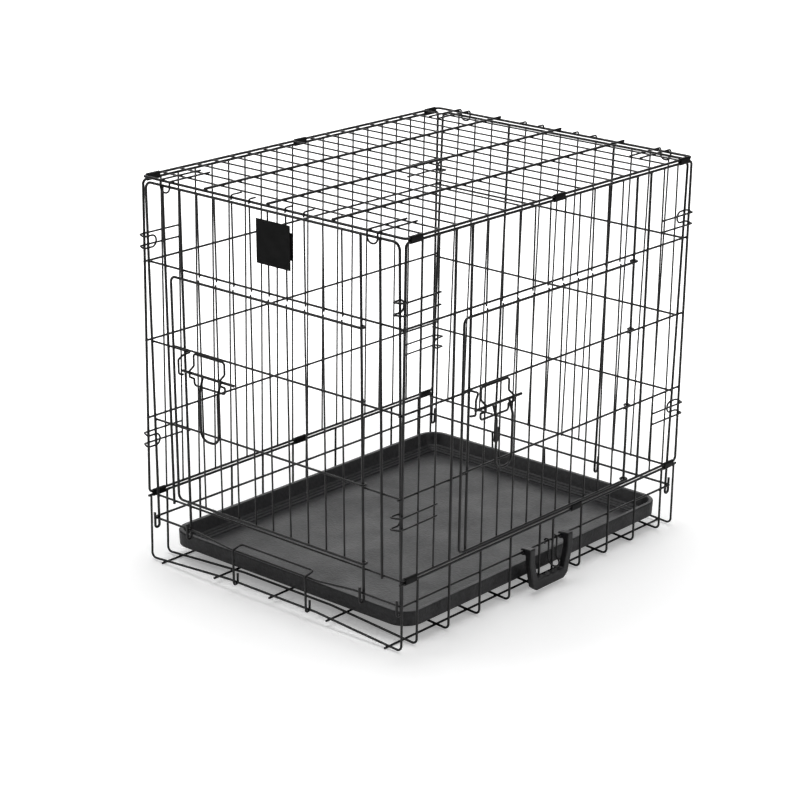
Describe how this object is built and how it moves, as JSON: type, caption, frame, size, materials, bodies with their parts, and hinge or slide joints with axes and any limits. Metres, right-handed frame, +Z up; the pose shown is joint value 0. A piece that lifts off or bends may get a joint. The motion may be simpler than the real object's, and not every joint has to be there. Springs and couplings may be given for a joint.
{
  "type": "wire dog crate",
  "caption": "Folding wire pet crate with a front door, a side door, slide bolts, a pull-out plastic tray, a tray gate and a carry handle.",
  "frame": {"origin": "on the floor, under the middle of the crate's box", "axes": "+Z up, -Y out through the front door, +X out through the side door"},
  "size_m": [0.4765, 0.6246, 0.55],
  "materials": {
    "black_coat": "satin black coated wire",
    "black_sheet": "satin black coated sheet",
    "black_plastic": "matte moulded plastic"
  },
  "bodies": {
    "base": {"base_hoops": "black_coat", "base_runners": "black_coat", "base_ring": "black_coat", "base_rims": "black_coat", "tray_stops": "black_coat", "left_frame": "black_coat", "left_rails": "black_coat", "left_uprights": "black_coat", "right_frame": "black_coat", "right_rails": "black_coat", "right_jambs": "black_coat", "right_uprights": "black_coat", "side_keeper": "black_coat", "roof_frame": "black_coat", "roof_wires": "black_coat", "roof_rods": "black_coat", "roof_hooks": "black_coat", "roof_curls": "black_coat", "corner_catches": "black_coat", "roof_clips": "black_sheet", "base_clips": "black_sheet"},
    "front_panel": {"front_frame": "black_coat", "front_jambs": "black_coat", "front_rails": "black_coat", "front_uprights": "black_coat", "front_keeper": "black_coat", "front_plate": "black_sheet", "front_backing": "black_sheet"},
    "front_door": {"front_door_frame": "black_coat", "front_door_rails": "black_coat", "front_door_uprights": "black_coat", "front_guide": "black_coat"},
    "front_bolt_body": {"front_bolt": "black_coat", "front_grip": "black_coat"},
    "side_door": {"side_door_frame": "black_coat", "side_door_rails": "black_coat", "side_door_uprights": "black_coat", "side_guide": "black_coat"},
    "side_bolt_body": {"side_bolt": "black_coat", "side_grip": "black_coat"},
    "rear_panel": {"rear_frame": "black_coat", "rear_jambs": "black_coat", "rear_rails": "black_coat", "rear_uprights": "black_coat"},
    "tray_body": {"tray": "black_plastic"},
    "gate_body": {"tray_gate": "black_coat"},
    "handle_body": {"carry_handle": "black_plastic"},
    "catch_body": {"case_catch": "black_coat"}
  },
  "joints": [
    {"name": "front_panel_fold", "type": "hinge", "parent": "base", "child": "front_panel", "pos_m": [-0.0057, -0.295, 0.0625], "axis": [1, 0, 0], "range_deg": [-88, 0]},
    {"name": "rear_panel_fold", "type": "hinge", "parent": "base", "child": "rear_panel", "pos_m": [-0.0057, 0.295, 0.0625], "axis": [-1, 0, 0], "range_deg": [-72, 0]},
    {"name": "front_door_swing", "type": "hinge", "parent": "front_panel", "child": "front_door", "pos_m": [0.1518, -0.2912, 0.0626], "axis": [0, -0.0262, 0.9997], "range_deg": [0, 160]},
    {"name": "side_door_swing", "type": "hinge", "parent": "base", "child": "side_door", "pos_m": [0.2225, 0.17426, 0.3], "axis": [0, 0, 1], "range_deg": [0, 160]},
    {"name": "front_bolt_slide", "type": "slide", "parent": "front_door", "child": "front_bolt_body", "axis": [1, 0, 0], "range_m": [-0.0165, 0]},
    {"name": "side_bolt_slide", "type": "slide", "parent": "side_door", "child": "side_bolt_body", "axis": [0, 1, 0], "range_m": [-0.0165, 0]},
    {"name": "tray_slide", "type": "slide", "parent": "base", "child": "tray_body", "axis": [0, -1, 0], "range_m": [0, 0.018]},
    {"name": "tray_gate_turn", "type": "hinge", "parent": "base", "child": "gate_body", "pos_m": [-0.0057, -0.298, 0.013], "axis": [1, 0, 0], "range_deg": [0, 90]},
    {"name": "carry_handle_turn", "type": "hinge", "parent": "base", "child": "handle_body", "pos_m": [0.2194, 0, 0.0625], "axis": [0, -1, 0], "range_deg": [0, 110]},
    {"name": "case_catch_turn", "type": "hinge", "parent": "base", "child": "catch_body", "pos_m": [0.2194, 0.004, 0.0625], "axis": [0, -1, 0], "range_deg": [0, 100]}
  ]
}
